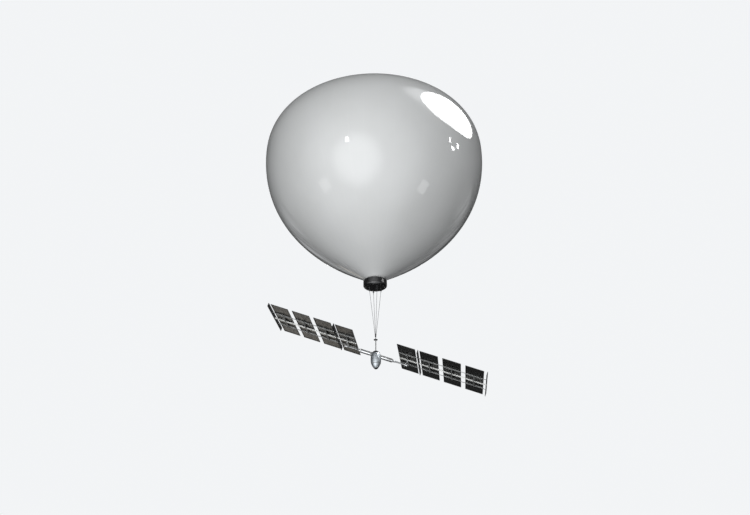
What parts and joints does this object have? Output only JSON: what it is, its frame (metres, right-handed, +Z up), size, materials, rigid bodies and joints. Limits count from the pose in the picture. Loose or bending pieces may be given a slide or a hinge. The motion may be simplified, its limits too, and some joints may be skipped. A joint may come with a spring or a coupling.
{
  "type": "solar powered stratospheric balloon",
  "caption": "High altitude balloon: gas filled envelope, load collar, suspension lines to a swivel, and an egg shaped pod with a boom that carries two turning solar wings.",
  "frame": {"origin": "centre of the envelope's widest circle, where the air's lift is taken to act", "axes": "+Z up along the envelope's axis, +X level along the wings' line towards the lower wing, +Y away from the side seen in the picture"},
  "size_m": [15, 15, 21.1057],
  "materials": {
    "envelope_film": "satin grey film",
    "black_metal": "satin black paint",
    "line": "braided light grey line",
    "pod_shell": "light grey gloss paint",
    "bright_tube": "polished",
    "white_tube": "white paint",
    "grey_metal": "grey anodised",
    "solar_panel": "dark back sheet, glazed cells on top",
    "dark_strip": "satin black",
    "battery": "plain block"
  },
  "bodies": {
    "balloon": {"envelope": "envelope_film", "apex_plate": "black_metal", "load_collar": "black_metal", "line_hanger_1": "black_metal", "line_hanger_2": "black_metal", "line_hanger_3": "black_metal", "line_hanger_4": "black_metal", "suspension_line_1": "line", "suspension_line_2": "line", "suspension_line_3": "line", "suspension_line_4": "line", "gather_link": "line"},
    "gondola": {"swivel_plate": "black_metal", "mast": "grey_metal", "pod_cap": "black_metal", "pod_upper_shell": "pod_shell", "equipment_deck": "grey_metal", "equipment_block": "battery", "pod_lower_shell": "pod_shell", "payload_boss": "black_metal", "boom_tube": "bright_tube", "drive_nose_left": "bright_tube", "drive_nose_right": "bright_tube"},
    "wing_left": {"wing_shaft_left": "bright_tube", "star_bracket_left": "bright_tube", "wing_frame_left": "white_tube", "panel_left_1_near": "solar_panel", "panel_left_1_far": "solar_panel", "panel_left_2_near": "solar_panel", "panel_left_2_far": "solar_panel", "panel_left_3_near": "solar_panel", "panel_left_3_far": "solar_panel", "panel_left_4_near": "solar_panel", "panel_left_4_far": "solar_panel", "spreader_bar_left_inner": "dark_strip", "spreader_bar_left_tip": "dark_strip"},
    "wing_right": {"wing_shaft_right": "bright_tube", "star_bracket_right": "bright_tube", "wing_frame_right": "white_tube", "panel_right_1_near": "solar_panel", "panel_right_1_far": "solar_panel", "panel_right_2_near": "solar_panel", "panel_right_2_far": "solar_panel", "panel_right_3_near": "solar_panel", "panel_right_3_far": "solar_panel", "panel_right_4_near": "solar_panel", "panel_right_4_far": "solar_panel", "spreader_bar_right_inner": "dark_strip", "spreader_bar_right_tip": "dark_strip"}
  },
  "joints": [
    {"name": "pod_swivel", "type": "hinge", "parent": "balloon", "child": "gondola", "pos_m": [0, 0, -12.925], "axis": [0, 0, 1], "continuous": true},
    {"name": "wing_left_turn", "type": "hinge", "parent": "gondola", "child": "wing_left", "pos_m": [0, 0, -14], "axis": [0.9373, 0, -0.3486], "range_deg": [-90, 90]},
    {"name": "wing_right_turn", "type": "hinge", "parent": "gondola", "child": "wing_right", "pos_m": [0, 0, -14], "axis": [0.9373, 0, -0.3486], "range_deg": [-90, 90]}
  ]
}
